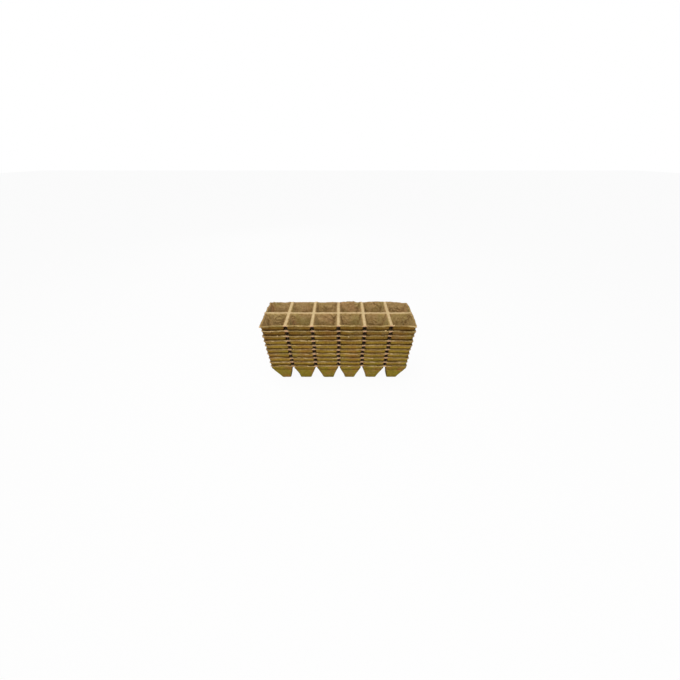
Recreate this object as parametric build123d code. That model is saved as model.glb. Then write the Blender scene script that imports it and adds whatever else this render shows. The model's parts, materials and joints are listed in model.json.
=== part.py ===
from build123d import *
import os

# A stack of ten nested peat trays. Each tray is one moulded strip of square cells that taper to their feet,
# joined at the top by a thin web whose strips between the openings are the tray's ribs.
# Millimetres, +Z up, the front towards -Y. The origin is under the middle of the stack, where it stands.

# Counts
tray_count = 10
cells_along = 6
cells_across = 2

# Cells
cell_pitch = 44.5
rib_width = 6.6
foot_width = 20.0
tray_height = 41.0
inner_corner_radius = 1.8
outer_corner_radius = 3.0

# Moulded wall, measured level, and the floor and web, measured upright
rim_wall = 1.8
foot_wall = 2.3
floor_thickness = 2.4
web_thickness = 2.2
web_corner_radius = 2.0

# Rounded edges
foot_round = 1.8
floor_round = 1.4
rib_round = 0.6

# Play between a foot and the cell that it sits in, all round
nest_clearance = 0.36

# Worked out from the sizes above
opening_width = cell_pitch - rib_width
rim_width = opening_width + 2 * rim_wall
outer_slope = (rim_width - foot_width) / 2 / tray_height
floor_width = foot_width + 2 * outer_slope * floor_thickness - 2 * foot_wall
inner_slope = (opening_width - floor_width) / 2 / (tray_height - floor_thickness)
web_length = (cells_along - 1) * cell_pitch + rim_width
web_depth = (cells_across - 1) * cell_pitch + rim_width

# A tray sinks into the one below until its feet, or its walls at the lower tray's rim, are this close to it
step_at_foot = floor_thickness + (foot_width / 2 + nest_clearance - floor_width / 2) / inner_slope
step_at_rim = (rim_wall + nest_clearance) / outer_slope
nest_step = max(step_at_foot, step_at_rim)


def tapered_block(low, low_width, high, high_width, corner_radius):
    """A square block that widens from its low end to its high end, with its four upright corners rounded."""
    side_view = Polygon(
        (-low_width / 2, low),
        (low_width / 2, low),
        (high_width / 2, high),
        (-high_width / 2, high),
        align=None,
    )
    seen_from_front = extrude(Plane.XZ * side_view, high_width / 2, both=True)
    seen_from_side = extrude(Plane.YZ * side_view, high_width / 2, both=True)
    block = seen_from_front & seen_from_side
    corners = block.edges().filter_by(lambda edge: edge.start_point().Z != edge.end_point().Z)
    return fillet(corners, corner_radius)


def cell_outside():
    """The outer form of one cell, rounded where the walls turn into the foot."""
    block = tapered_block(0, foot_width, tray_height, rim_width, outer_corner_radius)
    return fillet(block.faces().sort_by(Axis.Z)[0].edges(), foot_round)


def cell_hollow():
    """The space inside one cell, rounded where the walls turn into the floor."""
    block = tapered_block(floor_thickness, floor_width, tray_height, opening_width, inner_corner_radius)
    return fillet(block.faces().sort_by(Axis.Z)[0].edges(), floor_round)


def web():
    """The flat sheet across the top, before the cells open it."""
    sheet = RectangleRounded(web_length, web_depth, web_corner_radius)
    return extrude(Plane.XY.offset(tray_height - web_thickness) * sheet, web_thickness)


def tray():
    """One tray standing on its feet, with every opening's edge and the outer edge softened."""
    places = GridLocations(cell_pitch, cell_pitch, cells_along, cells_across)
    outside = cell_outside()
    hollow = cell_hollow()
    body = web() + [place * outside for place in places]
    body -= [place * hollow for place in places]
    top_edges = body.faces().sort_by(Axis.Z)[-1].edges()
    return fillet(top_edges, rib_round)


os.makedirs("parts", exist_ok=True)

one_tray = tray()
for level in range(tray_count):
    name = f"tray_{level + 1:02d}"
    nested = Pos(0, 0, level * nest_step) * one_tray
    nested.label = name
    export_step(nested, f"parts/{name}.step")

stack_height = tray_height + (tray_count - 1) * nest_step
print(f"one tray: {web_length:.1f} x {web_depth:.1f} x {tray_height:.1f}, {one_tray.volume / 1000:.1f} cm3")
print(f"nest step {nest_step:.3f}, stack height {stack_height:.2f}")
print(f"slopes {outer_slope:.4f} outside and {inner_slope:.4f} inside, floor {floor_width:.2f} wide")
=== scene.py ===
import json
import math
import random

import bmesh
import bpy
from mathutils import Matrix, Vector

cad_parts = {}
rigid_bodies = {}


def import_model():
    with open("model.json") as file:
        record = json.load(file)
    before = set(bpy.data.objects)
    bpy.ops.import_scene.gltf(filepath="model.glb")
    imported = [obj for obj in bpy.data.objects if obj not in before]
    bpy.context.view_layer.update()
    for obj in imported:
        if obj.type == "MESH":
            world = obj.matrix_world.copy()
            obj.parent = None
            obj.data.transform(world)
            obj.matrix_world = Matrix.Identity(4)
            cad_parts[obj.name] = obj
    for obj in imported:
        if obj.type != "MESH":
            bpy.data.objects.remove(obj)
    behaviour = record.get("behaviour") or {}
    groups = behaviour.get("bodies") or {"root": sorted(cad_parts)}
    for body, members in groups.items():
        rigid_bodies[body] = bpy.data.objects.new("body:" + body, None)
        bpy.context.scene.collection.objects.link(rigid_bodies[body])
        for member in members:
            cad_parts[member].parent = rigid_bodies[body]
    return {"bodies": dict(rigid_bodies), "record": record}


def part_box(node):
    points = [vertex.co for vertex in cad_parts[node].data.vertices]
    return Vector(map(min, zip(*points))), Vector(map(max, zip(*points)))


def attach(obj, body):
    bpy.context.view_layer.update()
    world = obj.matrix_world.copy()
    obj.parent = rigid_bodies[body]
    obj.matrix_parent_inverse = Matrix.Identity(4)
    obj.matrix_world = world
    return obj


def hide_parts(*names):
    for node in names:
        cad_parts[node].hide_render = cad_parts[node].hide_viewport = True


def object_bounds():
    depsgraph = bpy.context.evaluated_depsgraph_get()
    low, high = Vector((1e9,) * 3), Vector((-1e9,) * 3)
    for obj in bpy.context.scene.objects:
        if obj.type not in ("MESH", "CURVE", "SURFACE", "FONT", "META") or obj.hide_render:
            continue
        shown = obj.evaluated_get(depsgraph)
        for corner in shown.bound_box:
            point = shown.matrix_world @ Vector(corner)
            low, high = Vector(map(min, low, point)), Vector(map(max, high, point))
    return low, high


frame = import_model()
cad_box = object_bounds()

# Ten nested trays of moulded peat. Each is grown from one cell by a node tree, roughened as dried pulp is,
# and rides on the body of the tray that it stands for. Metres.

mm = 0.001

# The cell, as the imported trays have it
columns = 6
rows = 2
pitch = 44.5 * mm
opening_half = 18.95 * mm
rim_half = 20.75 * mm
foot_half = 10.0 * mm
floor_half = 8.33 * mm
tray_height = 41.0 * mm
web_thickness = 2.2 * mm
floor_thickness = 2.4 * mm
inner_corner = 1.8 * mm
outer_corner = 3.0 * mm
web_corner = 2.0 * mm
floor_round = 1.4 * mm
foot_round = 1.8 * mm
half_length = (columns - 1) * pitch / 2 + rim_half
half_depth = (rows - 1) * pitch / 2 + rim_half

# How finely the skin of a cell is divided
side_steps = 11
straight_steps = 9
wall_rings = 17
floor_shares = (0.8, 0.52, 0.24)
rim_strips = 4
ring_crowding = 1.4

# Between these heights the outer wall comes out to its full width, and it stands upright above them
shoulder_low = 30.8 * mm
shoulder_high = 34.5 * mm

# The lowest tray has sagged: each column's feet lean along it and swell, and its walls bulge between two heights
foot_leans = (2.0 * mm, -2.0 * mm, 0.5 * mm, 0.0, -0.8 * mm, -2.2 * mm)
foot_swell_shares = (0.93, 1.14, 1.12, 1.0, 1.06, 1.03)
wall_bulge_share = 0.075
bulge_from = (6.0 * mm, 28.0 * mm)
bulge_until = (30.0 * mm, 37.0 * mm)

# How far the rim's four corners hang down
nested_corner_sag = 0.8 * mm
top_corner_sag = 1.8 * mm

# How far out of true a tray may sit in the nest, in degrees and millimetres
most_tilt, most_turn = 0.12, 0.15
most_aside, most_forward = 0.8, 0.35

tray_names = sorted(frame["bodies"])


def colour(red, green, blue):
    """A colour written as it looks on screen, 0 to 255, as the linear values that a material takes."""
    parts = []
    for value in (red, green, blue):
        value /= 255
        parts.append(value / 12.92 if value <= 0.04045 else ((value + 0.055) / 1.055) ** 2.4)
    return (*parts, 1.0)


def eased(value, low, high):
    """0 at the low value and 1 at the high one, with a smooth turn at both."""
    share = min(max((value - low) / (high - low), 0.0), 1.0)
    return share * share * (3 - 2 * share)


class Bench:
    """Adds nodes to one tree, each wired as it is put down."""

    def __init__(self, tree):
        self.tree = tree

    def put(self, kind, wires=None, **settings):
        node = self.tree.nodes.new(kind)
        for name, value in settings.items():
            setattr(node, name, value)
        for key, value in (wires or {}).items():
            self.feed(self.socket(node, key), value)
        return node

    def socket(self, node, key):
        if isinstance(key, int):
            return node.inputs[key]
        return next(s for s in node.inputs if s.name == key and s.enabled)

    def feed(self, socket, value):
        if isinstance(value, bpy.types.NodeSocket):
            self.tree.links.new(value, socket)
        else:
            socket.default_value = value

    def math(self, operation, *values):
        return self.put("ShaderNodeMath", dict(enumerate(values)), operation=operation).outputs[0]

    def vector(self, operation, first, second):
        key = "Scale" if operation == "SCALE" else 1
        return self.put("ShaderNodeVectorMath", {0: first, key: second}, operation=operation).outputs[0]

    def join(self, x, y, z):
        return self.put("ShaderNodeCombineXYZ", {"X": x, "Y": y, "Z": z}).outputs[0]

    def split(self, vector):
        return self.put("ShaderNodeSeparateXYZ", {0: vector}).outputs

    def noise(self, place, scale, detail=2.0, seed=0.0, roughness=0.5, distortion=0.0):
        wires = {"Vector": place, "W": seed, "Scale": scale, "Detail": detail}
        wires.update({"Roughness": roughness, "Distortion": distortion})
        return self.put("ShaderNodeTexNoise", wires, noise_dimensions="4D")

    def ramp(self, value, low, high, to_low=0.0, to_high=1.0, smooth=False):
        wires = {"Value": value, "From Min": low, "From Max": high, "To Min": to_low, "To Max": to_high}
        kind = "SMOOTHSTEP" if smooth else "LINEAR"
        return self.put("ShaderNodeMapRange", wires, interpolation_type=kind).outputs[0]

    def mix(self, share, first, second):
        node = self.put("ShaderNodeMix", data_type="RGBA")
        self.feed(node.inputs[0], share)
        self.feed(node.inputs[6], first)
        self.feed(node.inputs[7], second)
        return node.outputs[2]

    def times(self, first, *others):
        for other in others:
            first = self.math("MULTIPLY", first, other)
        return first

    def rest(self, share):
        """What a share leaves of 1."""
        return self.math("SUBTRACT", 1.0, share)

    def read(self, name):
        """A value that a geometry tree has stored on its points."""
        return self.put("GeometryNodeInputNamedAttribute", {"Name": name}, data_type="FLOAT").outputs[0]

    def store(self, piece, name, value, domain="POINT"):
        wires = {"Geometry": piece, "Name": name, "Value": value}
        return self.put("GeometryNodeStoreNamedAttribute", wires, data_type="FLOAT", domain=domain).outputs[0]

    def move(self, piece, offset):
        return self.put("GeometryNodeSetPosition", {"Geometry": piece, "Offset": offset}).outputs[0]


# The skin of one cell

def ring(half_width, corner, height):
    """A loop round the cell, counter-clockwise from above. With no corner radius it is a plain square."""
    points = []
    for side in range(4):
        for step in range(-side_steps, side_steps):
            if corner == 0:
                along, out = step / side_steps * half_width, half_width
            elif abs(step) <= straight_steps:
                along, out = step / straight_steps * (half_width - corner), half_width
            else:
                turn = (abs(step) - straight_steps) / (side_steps - straight_steps) * math.pi / 4
                along = math.copysign(half_width - corner + corner * math.sin(turn), step)
                out = half_width - corner + corner * math.cos(turn)
            x, y = along, -out
            for _ in range(side):
                x, y = -y, x
            points.append((x, y, height))
    return points


def wall_line(top_half, top, foot, foot_height, corner):
    """Rings down a wall from just under its top to just over its foot, closest together at the top."""
    line = []
    for step in range(1, wall_rings + 1):
        share = (step / (wall_rings + 1)) ** ring_crowding
        half = top_half + (foot - top_half) * share
        line.append((half, corner, top + (foot_height - top) * share))
    return line


def shouldered(line, slope, top):
    """The same rings pushed out to stand upright under the web, where no lower tray comes up round them."""
    pushed = []
    for half, corner, height in line:
        risen = eased(height, shoulder_low, shoulder_high)
        pushed.append((half + slope * (top - height) * risen, corner, height))
    return pushed


def rounded_foot(half, corner, height, radius):
    """Rings that turn a wall into a floor, and then shrink to its middle."""
    line = []
    for turn in (0.2, 0.55, 0.9):
        angle = turn * math.pi / 2
        inset = radius * (1 - math.cos(angle))
        rise = radius * (1 - math.sin(angle))
        line.append((half - inset, max(corner - inset, corner / 3), height + rise))
    flat = half - radius
    for share in floor_shares:
        line.append((flat * share, corner * share / 2, height))
    return line


def hollow_rings():
    """From the middle of the ribs over their round edge and down the inside to the floor."""
    rib = [
        (pitch / 2, 0, tray_height),
        (rim_half - 0.25 * mm, inner_corner + 1.5 * mm, tray_height),
        (opening_half + 0.75 * mm, inner_corner + 0.75 * mm, tray_height - 0.04 * mm),
        (opening_half + 0.25 * mm, inner_corner + 0.25 * mm, tray_height - 0.3 * mm),
        (opening_half, inner_corner, tray_height - 0.85 * mm),
    ]
    wall = wall_line(opening_half, tray_height, floor_half, floor_thickness, inner_corner)
    foot = rounded_foot(floor_half + 0.3 * mm, inner_corner, floor_thickness, floor_round)
    return rib + wall + foot


def outside_rings():
    """From the middle of the web's underside down the outside to the foot."""
    under = tray_height - web_thickness
    slope = (rim_half - foot_half) / tray_height
    web_half = foot_half + slope * under
    web = [
        (pitch / 2, 0, under),
        (web_half + 0.45 * mm, outer_corner + 0.4 * mm, under - 0.05 * mm),
        (web_half + 0.05 * mm, outer_corner, under - 0.5 * mm),
    ]
    wall = shouldered(wall_line(web_half, under, foot_half, 0, outer_corner), slope, under)
    foot = rounded_foot(foot_half + 0.45 * mm, outer_corner, 0, foot_round)
    return web + wall + foot


def add_skin(points, faces, marks, rings, inside):
    """Adds one skin of nested rings, closed at its middle. Its front looks up if inside, and down if not."""
    first = len(points)
    count = 4 * 2 * side_steps
    for half, corner, height in rings:
        points.extend(ring(half, corner, height))
        on_rib = inside and height > tray_height - 0.02 * mm
        on_wall = inside and not on_rib and height > floor_thickness + floor_round
        for step in range(count):
            in_corner = on_wall and abs(step % (2 * side_steps) - side_steps) > straight_steps
            marks.append((float(on_rib), float(inside), height / tray_height, float(in_corner)))
    for level in range(len(rings) - 1):
        for step in range(count):
            a = first + level * count + step
            b = first + level * count + (step + 1) % count
            quad = [a, b, b + count, a + count]
            faces.append(quad if inside else quad[::-1])
    points.append((0, 0, rings[-1][2]))
    marks.append((0.0, float(inside), rings[-1][2] / tray_height, 0.0))
    last = first + (len(rings) - 1) * count
    for step in range(count):
        fan = [last + step, last + (step + 1) % count, len(points) - 1]
        faces.append(fan if inside else fan[::-1])


def cell_mesh():
    """Both skins of a cell out to the middle of its ribs, marked for the finish."""
    points, faces, marks = [], [], []
    add_skin(points, faces, marks, hollow_rings(), True)
    add_skin(points, faces, marks, outside_rings(), False)
    mesh = bpy.data.meshes.new("peat cell")
    mesh.from_pydata(points, [], faces)
    for index, name in enumerate(("rib_top", "hollow", "rise", "fold")):
        values = mesh.attributes.new(name, "FLOAT", "POINT")
        values.data.foreach_set("value", [mark[index] for mark in marks])
    return mesh


# Loose bits that stand out of the pulp

def fibre_mesh():
    """A short bent three-sided fibre along X, one unit long, sunk at both ends."""
    mesh = bpy.data.meshes.new("loose fibre")
    stations = ((-0.5, -0.06, 0.3), (-0.2, 0.05, 1.0), (0.12, 0.08, 0.9), (0.5, 0.02, 0.2))
    radius = 0.045
    points, faces = [], []
    for x, z, thick in stations:
        for corner in range(3):
            angle = corner * math.tau / 3
            points.append((x, radius * thick * math.cos(angle), z + radius * thick * math.sin(angle)))
    for level in range(len(stations) - 1):
        for corner in range(3):
            a = level * 3 + corner
            b = level * 3 + (corner + 1) % 3
            faces.append([a, b, b + 3, a + 3])
    end = (len(stations) - 1) * 3
    faces.append([2, 1, 0])
    faces.append([end, end + 1, end + 2])
    mesh.from_pydata(points, [], faces)
    return mesh


def crumb_mesh():
    """A flattened lump of pulp, one unit across."""
    mesh = bpy.data.meshes.new("pulp crumb")
    shape = bmesh.new()
    bmesh.ops.create_icosphere(shape, subdivisions=1, radius=0.5)
    draw = random.Random(5)
    flatness = 0.45
    for point in shape.verts:
        point.co *= draw.uniform(0.75, 1.2)
        point.co.z *= flatness
    shape.to_mesh(mesh)
    shape.free()
    return mesh


def seed_object(mesh):
    """An object for a node tree to copy from, which isn't in the scene."""
    return bpy.data.objects.new(mesh.name, mesh)


# The tree that grows a tray from its cell. Its relief is noise, whose scales are in waves to the metre.

warp_scale = 22.0
lump_scale = 130.0
crease_scale = 75.0
crease_patch_scale = 38.0
grain_scale = 420.0
wave_scale = 46.0
tear_scale = 260.0
wave_stretch = (1.0, 1.0, 1.9)
lump_strengths = (1.3, 2.2)
crease_width = 0.035
crease_patches = (0.48, 0.62, 0.2, 1.7)
loose_tilt = 0.35
weld_distance = 0.02 * mm
edge_bulge = 1.4 * mm

# How wide the marks round the rim are, each from where it is whole to where it ends or the other way about
thin_rim_ends = (1.6 * mm, 2.2 * mm)
over_rib = (2.6 * mm, 3.6 * mm)
over_slot = (3.6 * mm, 5.2 * mm)
slot_starts = (0.4 * mm, 2.4 * mm)
behind_starts = (0.9 * mm, 2.4 * mm)
behind_ends = (8.0 * mm, 16.0 * mm)
rim_band = 5.0 * mm
rim_drop = (9.0 * mm, 1.0 * mm)
corner_reach = 24.0 * mm

# Loose bits to the square metre, their sizes, and the tones by which the finish tells them apart
fibres_on_edge, fibres_on_ribs, fibres_in_hollows = 90000.0, 16000.0, 4500.0
crumbs_in_hollows, crumbs_elsewhere = 5500.0, 1200.0
flakes_on_edge = 3200.0
fibre_lengths = (0.8 * mm, 3.2 * mm)
crumb_sizes = (0.5 * mm, 1.5 * mm)
flake_sizes = (1.9 * mm, 3.3 * mm)
loose_tones = (0.25, 1.0)
flake_tones = (1.2, 1.4)

tray_numbers = (
    "Seed", "Pitch", "Half Length", "Half Depth", "Web Corner", "Web Thickness", "Tray Height",
    "Warp", "Lumps", "Grain", "Rim Wave", "Rim Tear", "Corner Sag", "Loose Bits",
)


def spread_cells(bench, cell, given):
    """Copies of the cell on the tray's grid, joined rib to rib and cut off at the tray's outer edge."""
    length = bench.math("MULTIPLY", given["Pitch"], columns - 1)
    depth = bench.math("MULTIPLY", given["Pitch"], rows - 1)
    grid = bench.put("GeometryNodeMeshGrid", {
        "Size X": length, "Size Y": depth, "Vertices X": columns, "Vertices Y": rows,
    })
    copies = bench.put("GeometryNodeInstanceOnPoints", {"Points": grid.outputs[0], "Instance": cell})
    real = bench.put("GeometryNodeRealizeInstances", {"Geometry": copies.outputs[0]})
    x, y, z = bench.split(bench.put("GeometryNodeInputPosition").outputs[0])
    inside_x = bench.math("MAXIMUM", bench.math("MINIMUM", x, given["Half Length"]),
                          bench.math("MULTIPLY", given["Half Length"], -1.0))
    inside_y = bench.math("MAXIMUM", bench.math("MINIMUM", y, given["Half Depth"]),
                          bench.math("MULTIPLY", given["Half Depth"], -1.0))
    cut = bench.put("GeometryNodeSetPosition", {
        "Geometry": real.outputs[0], "Position": bench.join(inside_x, inside_y, z),
    })
    return bench.put("GeometryNodeMergeByDistance", {
        "Geometry": cut.outputs[0], "Distance": weld_distance,
    }).outputs[0]


def close_rim(bench, sheet, given):
    """Strips down the web's open outer edge, joined to the underside."""
    open_edge = bench.put("FunctionNodeCompare", {
        "A": bench.put("GeometryNodeInputMeshEdgeNeighbors").outputs[0], "B": 1,
    }, data_type="INT", operation="EQUAL").outputs[0]
    upper = bench.put("FunctionNodeCompare", {"A": bench.read("hollow"), "B": 0.5},
                      data_type="FLOAT", operation="GREATER_THAN").outputs[0]
    edge = bench.put("FunctionNodeBooleanMath", {0: open_edge, 1: upper}, operation="AND").outputs[0]
    down = bench.join(0.0, 0.0, bench.math("MULTIPLY", given["Web Thickness"], -1.0 / rim_strips))
    for _ in range(rim_strips):
        strip = bench.put("GeometryNodeExtrudeMesh", {
            "Mesh": sheet, "Selection": edge, "Offset": down, "Offset Scale": 1.0,
        }, mode="EDGES")
        sheet, edge = strip.outputs["Mesh"], strip.outputs["Top"]
    return bench.put("GeometryNodeMergeByDistance", {"Geometry": sheet, "Distance": weld_distance}).outputs[0]


def outward(bench, value, limit):
    """+1 or -1 on the tray's outer edge along one direction, and 0 away from it."""
    on_edge = bench.math("GREATER_THAN", bench.math("ABSOLUTE", value), bench.math("SUBTRACT", limit, 0.1 * mm))
    return bench.math("MULTIPLY", on_edge, bench.math("SIGN", value))


def near_rib(bench, value, given, inner, outer):
    """1 within the inner distance of a rib that crosses this direction, and 0 past the outer one."""
    steps = bench.math("DIVIDE", value, given["Pitch"])
    off = bench.math("ABSOLUTE", bench.math("SUBTRACT", steps, bench.math("ROUND", steps)))
    return bench.ramp(bench.times(off, given["Pitch"]), inner, outer, 1.0, 0.0)


def mark_rim(bench, tray, place, given):
    """Marks what lies near the tray's outer edge, for the finish and for the rim's waves.

    The cells' own thin edge isn't rubbed pale as the ribs are. The slots between cells, and the ribs just behind
    the edge where another tray covers them, are marked for painted shadow.
    """
    x, y, z = place
    from_end = bench.math("SUBTRACT", given["Half Length"], bench.math("ABSOLUTE", x))
    from_side = bench.math("SUBTRACT", given["Half Depth"], bench.math("ABSOLUTE", y))
    between_y = bench.rest(near_rib(bench, y, given, *over_rib))
    between_x = bench.rest(near_rib(bench, x, given, *over_rib))
    thin_end = bench.times(bench.ramp(from_end, *thin_rim_ends, 1.0, 0.0), between_y)
    thin_side = bench.times(bench.ramp(from_side, *thin_rim_ends, 1.0, 0.0), between_x)
    tray = bench.store(tray, "thin_edge", bench.math("MAXIMUM", thin_end, thin_side))

    from_edge = bench.math("MINIMUM", from_end, from_side)
    slot = bench.math("MAXIMUM", near_rib(bench, x, given, *over_slot), near_rib(bench, y, given, *over_slot))
    slot = bench.times(slot, bench.ramp(from_edge, *slot_starts), bench.ramp(z, shoulder_low - 3.0 * mm, shoulder_low))
    tray = bench.store(tray, "slot", slot)
    behind = bench.times(bench.ramp(from_edge, *behind_starts), bench.ramp(from_edge, *behind_ends, 1.0, 0.0))
    tray = bench.store(tray, "behind_edge", behind)

    inwards = bench.ramp(from_edge, 0.0, rim_band, 1.0, 0.0, smooth=True)
    low, high = (bench.math("SUBTRACT", given["Tray Height"], drop) for drop in rim_drop)
    near_rim = bench.times(inwards, bench.ramp(z, low, high, smooth=True))
    tray = bench.store(tray, "near_rim", near_rim)
    near_corner = bench.ramp(bench.math("MAXIMUM", from_end, from_side), 0.0, corner_reach, 1.0, 0.0, smooth=True)
    return bench.store(tray, "corner_rim", bench.times(near_rim, near_corner))


def past_corner(bench, value, limit, corner):
    """How far a point is past where the web's corner starts to turn, along one direction."""
    start = bench.math("SUBTRACT", limit, corner)
    return bench.math("MAXIMUM", bench.math("SUBTRACT", bench.math("ABSOLUTE", value), start), 0.0)


def shape_rim(bench, tray, given):
    """Marks the outer edge, and makes it bulge a little and turn its corners round."""
    x, y, z = bench.split(bench.put("GeometryNodeInputPosition").outputs[0])
    out_x = outward(bench, x, given["Half Length"])
    out_y = outward(bench, y, given["Half Depth"])
    edge = bench.math("MAXIMUM", bench.math("ABSOLUTE", out_x), bench.math("ABSOLUTE", out_y))
    web_low = bench.math("SUBTRACT", given["Tray Height"], bench.times(given["Web Thickness"], 1.1))
    in_web = bench.math("GREATER_THAN", z, web_low)
    tray = bench.store(tray, "edge", bench.times(edge, in_web))
    tray = mark_rim(bench, tray, (x, y, z), given)

    share = bench.math("DIVIDE", bench.math("SUBTRACT", given["Tray Height"], z), given["Web Thickness"])
    bulge = bench.times(share, bench.rest(share), edge_bulge, in_web)
    tray = bench.move(tray, bench.vector("SCALE", bench.join(out_x, out_y, 0.0), bulge))

    past_x = past_corner(bench, x, given["Half Length"], given["Web Corner"])
    past_y = past_corner(bench, y, given["Half Depth"], given["Web Corner"])
    away = bench.math("SQRT", bench.math("ADD", bench.times(past_x, past_x), bench.times(past_y, past_y)))
    keep = bench.math("DIVIDE", bench.math("MAXIMUM", past_x, past_y), bench.math("MAXIMUM", away, 0.001 * mm))
    loss = bench.math("SUBTRACT", keep, 1.0)
    both = bench.math("GREATER_THAN", bench.math("MINIMUM", past_x, past_y), 0.0)
    pull_x = bench.times(past_x, loss, bench.math("SIGN", x), both)
    pull_y = bench.times(past_y, loss, bench.math("SIGN", y), both)
    return bench.move(tray, bench.join(pull_x, pull_y, 0.0))


def centred(bench, noise_node, output):
    """A noise's value or colour, moved to lie round zero."""
    if output == 0:
        return bench.math("SUBTRACT", noise_node.outputs[0], 0.5)
    return bench.vector("SUBTRACT", noise_node.outputs[1], (0.5, 0.5, 0.5))


def skin_relief(bench, place, given):
    """How far lumps, creases and grain lift the skin. The hollows are rougher than the outside."""
    seed = given["Seed"]
    hollow = bench.read("hollow")
    lump = centred(bench, bench.noise(place, lump_scale, 2.0, bench.math("ADD", seed, 3.1)), 0)
    lump = bench.times(lump, bench.ramp(hollow, 0.0, 1.0, *lump_strengths))
    line = centred(bench, bench.noise(place, crease_scale, 1.5, bench.math("ADD", seed, 7.7), distortion=0.6), 0)
    crease = bench.times(bench.ramp(bench.math("ABSOLUTE", line), 0.0, crease_width, 1.0, 0.0, smooth=True), hollow)
    patches = bench.noise(place, crease_patch_scale, 1.0, bench.math("ADD", seed, 1.9)).outputs[0]
    crease = bench.times(crease, bench.ramp(patches, *crease_patches))
    grain = bench.times(centred(bench, bench.noise(place, grain_scale, 1.0, seed), 0), given["Grain"], 2.0)
    return bench.math("ADD", bench.times(bench.math("ADD", lump, crease), given["Lumps"]), grain)


def roughen(bench, tray, given):
    """Warps the sheet, lifts lumps and creases on its skins, and tears its outer edge."""
    place = bench.put("GeometryNodeInputPosition").outputs[0]
    normal = bench.put("GeometryNodeInputNormal").outputs[0]
    seed = given["Seed"]
    warp = centred(bench, bench.noise(place, warp_scale, 1.0, seed), 1)
    warp = bench.vector("SCALE", warp, bench.times(given["Warp"], 2.0))
    relief = bench.vector("SCALE", normal, skin_relief(bench, place, given))
    wave = centred(bench, bench.noise(place, wave_scale, 2.5, bench.math("ADD", seed, 5.3)), 1)
    wave = bench.vector("MULTIPLY", wave, wave_stretch)
    wave = bench.vector("SCALE", wave, bench.times(given["Rim Wave"], 2.0, bench.read("near_rim")))
    tear = centred(bench, bench.noise(place, tear_scale, 2.0, bench.math("ADD", seed, 9.9)), 1)
    tear = bench.vector("SCALE", tear, bench.times(given["Rim Tear"], 2.0, bench.read("edge")))
    total = bench.vector("ADD", bench.vector("ADD", warp, relief), bench.vector("ADD", wave, tear))
    tray = bench.move(tray, total)
    sag = bench.times(given["Corner Sag"], bench.read("corner_rim"), -1.0)
    tray = bench.move(tray, bench.join(0.0, 0.0, sag))
    x, y, z = bench.split(bench.put("GeometryNodeInputPosition").outputs[0])
    on_ground = bench.join(x, y, bench.math("MAXIMUM", z, 0.0))
    return bench.put("GeometryNodeSetPosition", {"Geometry": tray, "Position": on_ground}).outputs[0]


def strew(bench, tray, bits, density, sizes, tones, seed, given):
    """Copies of a loose bit on the tray's faces, turned and sized at random."""
    whole = bench.put("FunctionNodeFloatToInt", {0: bench.math("ADD", given["Seed"], seed)}).outputs[0]
    spots = bench.put("GeometryNodeDistributePointsOnFaces", {
        "Mesh": tray, "Density": bench.times(density, given["Loose Bits"]), "Seed": whole,
    })
    spin = bench.put("FunctionNodeRandomValue", {
        "Min": (-loose_tilt, -loose_tilt, 0.0), "Max": (loose_tilt, loose_tilt, math.tau), "Seed": whole,
    }, data_type="FLOAT_VECTOR").outputs[0]
    turned = bench.put("FunctionNodeRotateRotation", {
        "Rotation": spots.outputs["Rotation"],
        "Rotate By": bench.put("FunctionNodeEulerToRotation", {"Euler": spin}).outputs[0],
    }, rotation_space="LOCAL").outputs[0]
    size, tone = (bench.put("FunctionNodeRandomValue", {
        "Min": low, "Max": high, "Seed": whole,
    }, data_type="FLOAT").outputs[1] for low, high in (sizes, tones))
    copies = bench.put("GeometryNodeInstanceOnPoints", {
        "Points": spots.outputs["Points"], "Instance": bits, "Rotation": turned, "Scale": size,
    })
    toned = bench.store(copies.outputs[0], "loose", tone, domain="INSTANCE")
    return bench.put("GeometryNodeRealizeInstances", {"Geometry": toned}).outputs[0]


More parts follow.
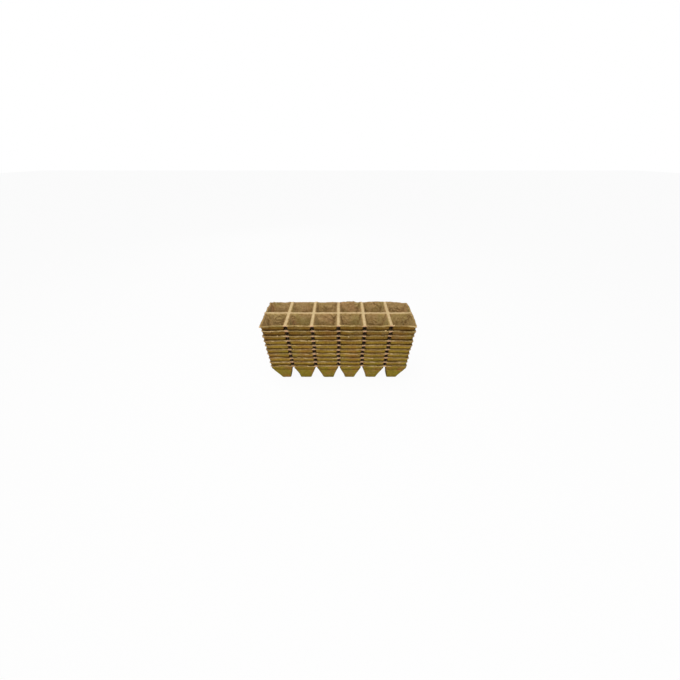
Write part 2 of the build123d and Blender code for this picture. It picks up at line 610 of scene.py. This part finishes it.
def tray_tree(fibre, crumb):
    """The node tree that makes a whole tray of the cell that it is put on."""
    tree = bpy.data.node_groups.new("moulded tray", "GeometryNodeTree")
    tree.interface.new_socket("Cell", in_out="INPUT", socket_type="NodeSocketGeometry")
    for name in tray_numbers:
        tree.interface.new_socket(name, in_out="INPUT", socket_type="NodeSocketFloat")
    tree.interface.new_socket("Pulp", in_out="INPUT", socket_type="NodeSocketMaterial")
    tree.interface.new_socket("Tray", in_out="OUTPUT", socket_type="NodeSocketGeometry")
    bench = Bench(tree)
    given = bench.put("NodeGroupInput").outputs
    tray = spread_cells(bench, given["Cell"], given)
    tray = close_rim(bench, tray, given)
    tray = shape_rim(bench, tray, given)
    tray = roughen(bench, tray, given)
    edge, hollow = bench.read("edge"), bench.read("hollow")
    on_rim = bench.math("ADD", bench.times(edge, fibres_on_edge), bench.times(bench.read("rib_top"), fibres_on_ribs))
    hairy = bench.math("ADD", on_rim, bench.times(hollow, fibres_in_hollows))
    lumpy = bench.math("ADD", bench.times(hollow, crumbs_in_hollows), crumbs_elsewhere)
    fibres = bench.put("GeometryNodeObjectInfo", {"Object": fibre}).outputs["Geometry"]
    crumbs = bench.put("GeometryNodeObjectInfo", {"Object": crumb}).outputs["Geometry"]
    flaky = bench.times(edge, flakes_on_edge)
    hairs = strew(bench, tray, fibres, hairy, fibre_lengths, loose_tones, 11.0, given)
    lumps = strew(bench, tray, crumbs, lumpy, crumb_sizes, loose_tones, 23.0, given)
    flakes = strew(bench, tray, crumbs, flaky, flake_sizes, flake_tones, 37.0, given)
    joined = bench.put("GeometryNodeJoinGeometry")
    for piece in (tray, hairs, lumps, flakes):
        tree.links.new(piece, joined.inputs[0])
    real = bench.put("GeometryNodeRealizeInstances", {"Geometry": joined.outputs[0]}).outputs[0]
    smooth = bench.put("GeometryNodeSetShadeSmooth", {"Geometry": real}).outputs[0]
    finished = bench.put("GeometryNodeSetMaterial", {"Geometry": smooth, "Material": given["Pulp"]})
    result = bench.put("NodeGroupOutput")
    tree.links.new(finished.outputs[0], result.inputs[0])
    return tree


def socket_identifier(tree, name):
    """The identifier by which a modifier knows the tree's input of this name."""
    return next(i.identifier for i in tree.interface.items_tree if i.name == name and i.in_out == "INPUT")


# The finish. Scales are in waves to the metre.

blotch_scale = 42.0
mottle_scale = 230.0
fibre_scale = 620.0
fleck_scale = 520.0
pit_scale = 900.0
wrinkle_scale = 80.0
wrinkle_patch_scale = 45.0
red_patch_scale = 26.0
green_patch_scale = 30.0
wear_scale = 62.0
wrinkle_shadow_drop = 1.9 * mm
wrinkle_width = 0.075
wrinkle_patches = (0.49, 0.62)
blotch_limits = (0.35, 0.65)
mottle_limits = (0.3, 0.7)
strand_limits = (0.6, 0.72)
strand_stretches = ((0.14, 1.0, 1.0), (1.0, 0.14, 0.8), (0.9, 1.0, 0.14))
cells_without_fleck = 0.72
fleck_limits = (0.12, 0.3, 1.0, 0.0)
strand_bend_scale = 120.0
strand_bend = 6.0 * mm
bump_strength = 0.8
bump_distance = 0.6 * mm
pulp_gloss = 0.14

outer_tones = (colour(164, 129, 41), colour(179, 147, 52))
outer_low = colour(135, 125, 26)
outer_red = colour(169, 116, 57)
outer_green = colour(139, 130, 32)
outer_high = colour(102, 60, 18)
outer_dusk = colour(95, 67, 20)
outer_strand = colour(190, 161, 95)
# Painted shadow that the rim above casts on each nested tray's wall, just over the next rim
overhang_shadow_tone = colour(74, 48, 12)
# Painted shade on outer walls that face one another across the gaps between cells
between_cells_shade = colour(55, 39, 10)
# Painted shadow deep in the slots between cells
slot_shadow_tone = colour(56, 17, 2)
inner_tones = (colour(172, 142, 93), colour(191, 163, 113))
# Painted shade deep in the hollows, towards their floor
inner_deep_shade = colour(137, 107, 64)
# Painted shade on the hollows' walls just under the rim
inner_rim_shade = colour(112, 84, 40)
inner_red = colour(176, 127, 90)
inner_green = colour(148, 140, 75)
inner_dusk = colour(112, 82, 40)
inner_strand = colour(220, 196, 152)
# Painted shade in the hollows' upright corners
inner_corner_shade = colour(92, 66, 30)
rib_pale = colour(198, 175, 132)
thin_pale = colour(192, 165, 106)
thin_dull = colour(120, 96, 48)
rib_end_tone = colour(203, 155, 122)
torn_tone = colour(205, 179, 128)
# Painted shadow on the ribs of trays that another tray covers, just behind the edge
covered_rib_shadow = colour(48, 20, 6)
# Painted highlight along the wrinkles' crests, and painted shadow just under them
painted_wrinkle_highlight = colour(200, 172, 118)
painted_wrinkle_shadow = colour(90, 64, 26)
fleck_dark = colour(82, 56, 24)
bit_pale = colour(214, 186, 126)
flake_pale = colour(222, 190, 138)
bit_dark = colour(70, 50, 24)

# Where a tone lies: from one value of the mark it follows to another, and how much of it shows at each
deep_in_hollow = (0.1, 0.95, 0.35, 0.0)
under_rim_inside = (0.85, 0.97, 0.0, 0.4)
near_foot = (0.72, 0.85, 0.7, 0.0)
under_rim_of_lowest = (0.84, 0.97, 0.6, 0.0)
high_in_stack = (0.55, 0.9, 0.0, 0.65)
just_over_next_rim = (0.77, 0.86, 0.3, 0.0)
facing_sideways = (0.6, 0.85)
past_end_cells = (half_length - 18.0 * mm, half_length - 15.0 * mm, 1.0, 0.0)
along_front = (-half_depth + 1.5 * mm, -half_depth + 6.0 * mm, 1.0, 0.0)
tinted_patches = (0.5, 0.66, 0.0)
patch_strengths = (0.85, 0.5)
rubbed_where = (0.44, 0.58, 0.0, 0.6)
torn_where = (0.56, 0.6, 0.0, 0.75)
in_pores = (0.0, 0.75, 0.6, 0.0)
pulp_roughness = (0.98, 0.82)

# Loose bits between the first two tones are dark, those above the third are pale, and above the last are flakes
dark_bits_above, dark_bits_below, pale_bits_above, flakes_above = 0.1, 0.42, 0.6, 1.1


def wrinkles(bench, place):
    """Wandering wrinkles that come in patches, 1 along their crests."""
    line = bench.noise(place, wrinkle_scale, 3.0, 7.7, distortion=0.5).outputs[0]
    line = bench.math("ABSOLUTE", bench.math("SUBTRACT", line, 0.5))
    patches = bench.ramp(bench.noise(place, wrinkle_patch_scale, 2.0, 1.9).outputs[0], *wrinkle_patches)
    return bench.times(bench.ramp(line, 0.0, wrinkle_width, 1.0, 0.0, smooth=True), patches)


def pulp_marks():
    """Blotches, fibres, flecks, wrinkles and pits of dried peat pulp, with the height that they stand at."""
    tree = bpy.data.node_groups.new("pulp marks", "ShaderNodeTree")
    face = tree.interface
    face.new_socket("Place", in_out="INPUT", socket_type="NodeSocketVector")
    face.new_socket("Fibre Scale", in_out="INPUT", socket_type="NodeSocketFloat")
    outputs = ("Blotch", "Mottle", "Fibre", "Fleck", "Wrinkle", "Under Wrinkle", "Height")
    for name in outputs:
        face.new_socket(name, in_out="OUTPUT", socket_type="NodeSocketFloat")
    bench = Bench(tree)
    given = bench.put("NodeGroupInput").outputs
    place = given["Place"]
    blotch = bench.ramp(bench.noise(place, blotch_scale, 3.0).outputs[0], *blotch_limits)
    mottle = bench.ramp(bench.noise(place, mottle_scale, 4.0, 2.0, 0.6).outputs[0], *mottle_limits)
    bent = centred(bench, bench.noise(place, strand_bend_scale, 1.0, 4.0), 1)
    bent = bench.vector("ADD", place, bench.vector("SCALE", bent, strand_bend))
    fibre = 0.0
    for number, stretch in enumerate(strand_stretches):
        along = bench.vector("MULTIPLY", bent, stretch)
        strand = bench.noise(along, given["Fibre Scale"], 2.0, 10.0 + number).outputs[0]
        fibre = bench.math("MAXIMUM", fibre, bench.ramp(strand, *strand_limits))
    bits = bench.put("ShaderNodeTexVoronoi", {"Vector": bent, "Scale": fleck_scale})
    chosen = bench.math("GREATER_THAN", bench.split(bits.outputs["Color"])[0], cells_without_fleck)
    fleck = bench.times(bench.ramp(bits.outputs["Distance"], *fleck_limits), chosen)
    wrinkle = wrinkles(bench, place)
    # The wrinkles moved up a little, where the finish paints their shadow
    under = wrinkles(bench, bench.vector("ADD", place, (0.0, 0.0, wrinkle_shadow_drop)))
    pits = bench.noise(place, pit_scale, 3.0, 6.0, 0.65).outputs[0]
    height = 0.0
    for mark, rise in ((mottle, 0.5), (pits, 0.6), (fibre, 0.35), (fleck, 0.25), (wrinkle, 0.9)):
        height = bench.math("ADD", height, bench.times(mark, rise))
    result = bench.put("NodeGroupOutput")
    for name, value in zip(outputs, (blotch, mottle, fibre, fleck, wrinkle, under, height)):
        tree.links.new(value, result.inputs[name])
    return tree


def told_by_mesh(bench):
    """The marks that the trays' meshes carry, by name."""
    names = ("rib_top", "hollow", "rise", "fold", "edge", "thin_edge", "behind_edge", "slot", "loose",
             "covered", "nested", "up_the_stack")
    told = {}
    for name in names:
        told[name] = bench.put("ShaderNodeAttribute", attribute_name=name, attribute_type="GEOMETRY").outputs["Fac"]
    told["outside"] = bench.rest(told["hollow"])
    return told


def pulp_body(bench, place, marks, told):
    """Browner hollows with painted shade deep down and under their rim, yellower outer walls greener towards the feet,
    all in reddish and greenish patches.
    """
    rise, hollow = told["rise"], told["hollow"]
    inner = bench.mix(marks["Blotch"], *inner_tones)
    # painted shade deep in the hollows
    inner = bench.mix(bench.ramp(rise, *deep_in_hollow), inner, inner_deep_shade)
    # painted shade just under the rim inside the hollows
    inner = bench.mix(bench.ramp(rise, *under_rim_inside), inner, inner_rim_shade)
    low = bench.ramp(rise, *near_foot)
    lowest = bench.times(bench.ramp(rise, *under_rim_of_lowest), bench.rest(told["nested"]))
    outer = bench.mix(marks["Blotch"], *outer_tones)
    outer = bench.mix(bench.math("MAXIMUM", low, lowest), outer, outer_low)
    body = bench.mix(hollow, outer, inner)
    strength = bench.ramp(told["nested"], 0.0, 1.0, *patch_strengths)
    reddish = bench.ramp(bench.noise(place, red_patch_scale, 2.0, 31.0).outputs[0], *tinted_patches, strength)
    greenish = bench.ramp(bench.noise(place, green_patch_scale, 2.0, 47.0).outputs[0], *tinted_patches, strength)
    body = bench.mix(reddish, body, bench.mix(hollow, outer_red, inner_red))
    return bench.mix(greenish, body, bench.mix(hollow, outer_green, inner_green))


def nest_shade(bench, body, place, told):
    """Outer walls darker high in the stack, painted shadow just over the next tray's rim, and painted shade where
    walls face one another.
    """
    high = bench.times(told["up_the_stack"], told["outside"])
    body = bench.mix(bench.ramp(high, *high_in_stack), body, outer_high)
    # painted shadow of the rim above, just over the next tray's rim
    overhung = bench.times(bench.ramp(told["rise"], *just_over_next_rim), told["nested"], told["outside"])
    body = bench.mix(overhung, body, overhang_shadow_tone)
    # painted shade on outer walls that face one another between cells
    normal = bench.put("ShaderNodeNewGeometry").outputs["Normal"]
    sideways = bench.ramp(bench.math("ABSOLUTE", bench.split(normal)[0]), *facing_sideways)
    from_middle = bench.math("ABSOLUTE", bench.split(place)[0])
    inboard = bench.ramp(from_middle, *past_end_cells)
    return bench.mix(bench.times(sideways, inboard, told["outside"], 0.65), body, between_cells_shade)


def worn_edges_and_shadow(bench, body, place, told):
    """Pale ribs and rib ends, a thin rim that is rubbed in places along the front, and painted shadow on covered ribs
    behind the edge. Gives how pale it is too.
    """
    rib, thin, edge = told["rib_top"], told["thin_edge"], told["edge"]
    front = bench.ramp(bench.split(place)[1], *along_front)
    wear = bench.noise(place, wear_scale, 3.0, 59.0).outputs[0]
    rubbed = bench.times(bench.ramp(wear, *rubbed_where), front, bench.ramp(told["covered"], 0.0, 1.0, 1.6, 0.7))
    pale = bench.times(rib, bench.ramp(thin, 0.0, 1.0, 0.92, rubbed))
    body = bench.mix(bench.times(rib, thin, bench.ramp(front, 0.0, 1.0, 0.8, 0.3)), body, thin_dull)
    body = bench.mix(pale, body, bench.mix(thin, rib_pale, thin_pale))
    body = bench.mix(bench.times(edge, bench.rest(thin), 0.8), body, rib_end_tone)
    body = bench.mix(bench.times(edge, thin, bench.ramp(wear, *torn_where)), body, torn_tone)
    # painted shadow on covered ribs just behind the edge
    body = bench.mix(bench.times(told["covered"], rib, told["behind_edge"], 0.9), body, covered_rib_shadow)
    return body, pale


def pulp_surface(bench, body, pale, marks, told):
    """Dusk in the pores, painted shade in the hollows' corners, fibres, wrinkles with painted highlight and shadow,
    flecks and loose bits, and painted shadow in the slots.
    """
    hollow, loose = told["hollow"], told["loose"]
    dusk = bench.times(bench.ramp(marks["Mottle"], *in_pores), bench.ramp(pale, 0.0, 1.0, 1.0, 0.35))
    body = bench.mix(dusk, body, bench.mix(hollow, outer_dusk, inner_dusk))
    # painted shade in the hollows' upright corners
    body = bench.mix(bench.times(told["fold"], bench.ramp(marks["Blotch"], 0.0, 1.0, 0.6, 0.3)), body, inner_corner_shade)
    body = bench.mix(bench.times(marks["Fibre"], 0.3), body, bench.mix(hollow, outer_strand, inner_strand))
    bare = bench.rest(pale)
    # painted highlight on wrinkle crests, then painted shadow just under them
    body = bench.mix(bench.times(marks["Wrinkle"], bare, bench.ramp(hollow, 0.0, 1.0, 0.2, 0.45)), body, painted_wrinkle_highlight)
    shaded = bench.times(marks["Under Wrinkle"], bare, bench.ramp(hollow, 0.0, 1.0, 0.35, 0.6))
    body = bench.mix(shaded, body, painted_wrinkle_shadow)
    body = bench.mix(bench.times(marks["Fleck"], 0.55), body, fleck_dark)
    over_dark, past_dark, pale_bit, flake = (
        bench.math("GREATER_THAN", loose, tone)
        for tone in (dark_bits_above, dark_bits_below, pale_bits_above, flakes_above)
    )
    dark_bit = bench.math("SUBTRACT", over_dark, past_dark)
    body = bench.mix(bench.times(pale_bit, 0.35), body, bit_pale)
    body = bench.mix(bench.times(flake, 0.6), body, flake_pale)
    body = bench.mix(bench.times(dark_bit, 0.55), body, bit_dark)
    # painted shadow in the slots between cells
    return bench.mix(bench.times(told["slot"], told["outside"], 0.96), body, slot_shadow_tone)


def peat_pulp(marks_tree):
    """Dried peat and wood pulp."""
    material = bpy.data.materials.new("peat_pulp")
    material.use_nodes = True
    material.node_tree.nodes.clear()
    bench = Bench(material.node_tree)
    place = bench.put("ShaderNodeTexCoord").outputs["Object"]
    group = bench.put("ShaderNodeGroup", node_tree=marks_tree)
    bench.feed(group.inputs["Place"], place)
    bench.feed(group.inputs["Fibre Scale"], fibre_scale)
    marks = group.outputs
    told = told_by_mesh(bench)
    body = pulp_body(bench, place, marks, told)
    body = nest_shade(bench, body, place, told)
    body, pale = worn_edges_and_shadow(bench, body, place, told)
    body = pulp_surface(bench, body, pale, marks, told)
    rough = bench.ramp(marks["Mottle"], 0.0, 1.0, *pulp_roughness)
    bump = bench.put("ShaderNodeBump", {
        "Strength": bump_strength, "Distance": bump_distance, "Height": marks["Height"],
    })
    shader = bench.put("ShaderNodeBsdfPrincipled", {
        "Base Color": body, "Roughness": rough, "Normal": bump.outputs[0], "Specular IOR Level": pulp_gloss,
    })
    bench.put("ShaderNodeOutputMaterial", {"Surface": shader.outputs[0]})
    return material


# The trays

def grown(name, cell, tree, values):
    """The tree's result on the cell, as a plain mesh."""
    maker = bpy.data.objects.new(name, cell)
    bpy.context.scene.collection.objects.link(maker)
    modifier = maker.modifiers.new("tray", "NODES")
    modifier.node_group = tree
    for key, value in values.items():
        modifier[socket_identifier(tree, key)] = value
    bpy.context.view_layer.update()
    depsgraph = bpy.context.evaluated_depsgraph_get()
    mesh = bpy.data.meshes.new_from_object(maker.evaluated_get(depsgraph), depsgraph=depsgraph)
    bpy.data.objects.remove(maker)
    return mesh


def lean_feet(mesh):
    """Leans and swells the cells of the tray that all the others stand on, which has sagged out of true."""
    for point in mesh.vertices:
        x, y, z = point.co
        column = min(max(round(x / pitch + (columns - 1) / 2), 0), columns - 1)
        middle = (column - (columns - 1) / 2) * pitch
        middle_y = math.copysign(pitch / 2, y)
        share = max(1 - z / shoulder_low, 0.0) ** 2
        bulge = wall_bulge_share * eased(z, *bulge_from) * (1 - eased(z, *bulge_until))
        swell = 1 + (foot_swell_shares[column] - 1) * share + bulge
        point.co.x = middle + (x - middle) * swell + foot_leans[column] * share
        point.co.y = middle_y + (y - middle_y) * (1 + bulge)


def settle(mesh, draw, base, up_the_stack):
    """Sets a tray into the nest a little out of true, and marks where in the stack it is."""
    tilt = math.radians(draw.uniform(-most_tilt, most_tilt))
    turn = math.radians(draw.uniform(-most_turn, most_turn))
    shift = Vector((draw.uniform(-most_aside, most_aside), draw.uniform(-most_forward, most_forward), 0)) * mm
    for point in mesh.vertices:
        x, y, z = point.co
        point.co = (x - turn * y + shift.x, y + turn * x + shift.y, z + tilt * x + base)
    told = {"up_the_stack": up_the_stack, "nested": float(up_the_stack > 0), "covered": float(up_the_stack < 1)}
    for name, value in told.items():
        marked = mesh.attributes.new(name, "FLOAT", "POINT")
        marked.data.foreach_set("value", [value] * len(mesh.vertices))


def close_up(mesh, pulp):
    """Turns every face outwards and leaves the mesh with the one finish."""
    mesh.materials.clear()
    mesh.materials.append(pulp)
    mesh.polygons.foreach_set("material_index", [0] * len(mesh.polygons))
    shape = bmesh.new()
    shape.from_mesh(mesh)
    bmesh.ops.recalc_face_normals(shape, faces=shape.faces)
    shape.to_mesh(mesh)
    shape.free()


def make_trays(pulp):
    cell = cell_mesh()
    tree = tray_tree(seed_object(fibre_mesh()), seed_object(crumb_mesh()))
    draw = random.Random(12)
    for number, body in enumerate(tray_names):
        values = {
            "Seed": 17.0 * (number + 1),
            "Pitch": pitch,
            "Half Length": half_length,
            "Half Depth": half_depth,
            "Web Corner": web_corner,
            "Web Thickness": web_thickness,
            "Tray Height": tray_height,
            "Warp": 0.35 * mm,
            "Lumps": 0.7 * mm,
            "Grain": 0.16 * mm,
            "Rim Wave": 1.4 * mm,
            "Rim Tear": 0.7 * mm,
            "Corner Sag": nested_corner_sag if number < len(tray_names) - 1 else top_corner_sag,
            "Loose Bits": 1.0,
            "Pulp": pulp,
        }
        mesh = grown(body, cell, tree, values)
        close_up(mesh, pulp)
        if number == 0:
            lean_feet(mesh)
        node = frame["record"]["behaviour"]["bodies"][body][0]
        settle(mesh, draw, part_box(node)[0][2], number / (len(tray_names) - 1))
        piece = bpy.data.objects.new(f"peat_{body}", mesh)
        bpy.context.scene.collection.objects.link(piece)
        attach(piece, body)
        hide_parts(node)


# The room

ground_grey = (0.66, 0.66, 0.66, 1.0)
ground_glow_share = 0.95
room_light = 0.34


def seen_directly(bench):
    """1 for the camera and for what glossy and clear things show, and 0 for light on its way to a surface."""
    path = bench.put("ShaderNodeLightPath").outputs
    mirrored = bench.math("MAXIMUM", path["Is Glossy Ray"], path["Is Transmission Ray"])
    return bench.math("MAXIMUM", path["Is Camera Ray"], mirrored)


def white_ground():
    """White to the eye, with a share of plain matt ground that holds the object's shadow."""
    material = bpy.data.materials.new("white ground")
    material.use_nodes = True
    material.node_tree.nodes.clear()
    bench = Bench(material.node_tree)
    seen = seen_directly(bench)
    matt = bench.put("ShaderNodeBsdfDiffuse", {"Color": ground_grey})
    glow = bench.put("ShaderNodeEmission", {"Color": (1.0, 1.0, 1.0, 1.0), "Strength": 1.0})
    both = bench.put("ShaderNodeMixShader", {
        0: bench.math("MULTIPLY", seen, ground_glow_share), 1: matt.outputs[0], 2: glow.outputs[0],
    })
    bench.put("ShaderNodeOutputMaterial", {"Surface": both.outputs[0]})
    return material


def make_ground():
    reach = 8.0
    mesh = bpy.data.meshes.new("ground")
    corners = [(-reach, -reach, 0), (reach, -reach, 0), (reach, reach, 0), (-reach, reach, 0)]
    mesh.from_pydata(corners, [], [(0, 1, 2, 3)])
    mesh.materials.append(white_ground())
    ground = bpy.data.objects.new("ground", mesh)
    bpy.context.scene.collection.objects.link(ground)


def make_world():
    world = bpy.data.worlds.new("soft room")
    world.use_nodes = True
    world.node_tree.nodes.clear()
    bench = Bench(world.node_tree)
    seen = seen_directly(bench)
    strength = bench.ramp(seen, 0.0, 1.0, room_light, 1.0)
    light = bench.put("ShaderNodeBackground", {"Color": (1.0, 1.0, 1.0, 1.0), "Strength": strength})
    bench.put("ShaderNodeOutputWorld", {"Surface": light.outputs[0]})
    bpy.context.scene.world = world


def add_light(name, place, aim, size, watts, tint=(1.0, 1.0, 1.0)):
    data = bpy.data.lights.new(name, "AREA")
    data.shape = "DISK"
    data.size = size
    data.energy = watts
    data.color = tint
    lamp = bpy.data.objects.new(name, data)
    lamp.location = place
    lamp.rotation_euler = (Vector(aim) - Vector(place)).to_track_quat("-Z", "Y").to_euler()
    bpy.context.scene.collection.objects.link(lamp)


def make_lights():
    middle = (0.0, 0.0, 0.07)
    add_light("overhead", (-0.15, -0.1, 1.1), middle, 0.9, 9.4, (1.0, 0.98, 0.95))
    add_light("front", (0.35, -1.1, 0.5), middle, 0.8, 5.5)
    add_light("rear", (-0.4, 1.1, 0.6), middle, 0.8, 2.5)


def make_camera():
    """Where the photograph was taken from, in pitches of the cells from the top tray's front edge."""
    picture_side = 680
    focal_pixels = 228.5
    axis_pixels_below_middle = 40
    stack_pixels_left_of_middle = 1.4
    sensor = 36.0
    pitch_down = math.radians(44.8)
    top = cad_box[1][2]
    back_off = 7.50 * pitch
    height = 4.59 * pitch
    distance = 8.56 * pitch
    data = bpy.data.cameras.new("camera")
    data.sensor_width = sensor
    data.clip_start = 10 * mm
    data.lens = sensor * focal_pixels / picture_side
    data.shift_y = axis_pixels_below_middle / picture_side
    camera = bpy.data.objects.new("camera", data)
    aside = stack_pixels_left_of_middle / focal_pixels * distance
    camera.location = (aside, -half_depth - back_off, top + height)
    camera.rotation_euler = (math.pi / 2 - pitch_down, 0.0, 0.0)
    bpy.context.scene.collection.objects.link(camera)
    bpy.context.scene.camera = camera


make_camera()
make_ground()
make_world()
make_lights()
make_trays(peat_pulp(pulp_marks()))
bpy.context.scene.view_settings.view_transform = "Standard"
